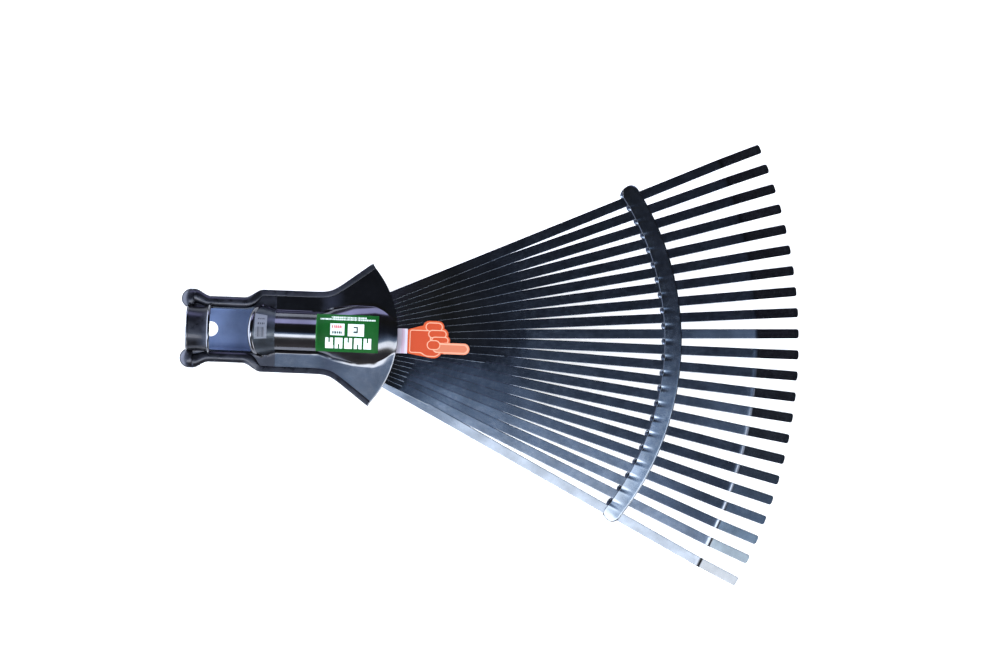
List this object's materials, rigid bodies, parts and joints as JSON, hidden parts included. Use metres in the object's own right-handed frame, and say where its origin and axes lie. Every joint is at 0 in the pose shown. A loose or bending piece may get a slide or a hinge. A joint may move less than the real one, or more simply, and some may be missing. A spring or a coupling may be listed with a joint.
{
  "type": "leaf rake head",
  "caption": "Fan-shaped steel leaf rake head: a two-shell pressed socket and casing grips thin spring tines with down-bent tips, spaced by a curved folded cross-brace.",
  "frame": {"origin": "on the axis of the handle socket, just inside the outer end of its full-round bore", "axes": "+X along the handle axis from the socket towards the tine tips, +Z the face seen in use with the tine tips turned down to -Z, +Y to the left when looking along +X"},
  "size_m": [0.498, 0.3571, 0.0527],
  "materials": {
    "casing_steel": "glossy black lacquer on pressed sheet steel",
    "tine_steel": "glossy blue-black lacquer on spring steel strip",
    "brace_steel": "glossy blue-black lacquer on folded steel strip",
    "bar_steel": "plain steel, hidden inside the casing",
    "green_label": "printed glossy film label",
    "white_label": "matte printed paper label",
    "orange_card": "printed glossy sticker"
  },
  "bodies": {
    "root": {"upper_shell": "casing_steel", "lower_shell": "casing_steel", "root_bar": "bar_steel", "cross_brace": "brace_steel", "tine_01": "tine_steel", "tine_02": "tine_steel", "tine_03": "tine_steel", "tine_04": "tine_steel", "tine_05": "tine_steel", "tine_06": "tine_steel", "tine_07": "tine_steel", "tine_08": "tine_steel", "tine_09": "tine_steel", "tine_10": "tine_steel", "tine_11": "tine_steel", "tine_12": "tine_steel", "tine_13": "tine_steel", "tine_14": "tine_steel", "tine_15": "tine_steel", "tine_16": "tine_steel", "tine_17": "tine_steel", "tine_18": "tine_steel", "tine_19": "tine_steel", "tine_20": "tine_steel", "tine_21": "tine_steel", "tine_22": "tine_steel", "product_label": "green_label", "barcode_label": "white_label", "hand_sticker": "orange_card"}
  },
  "joints": []
}
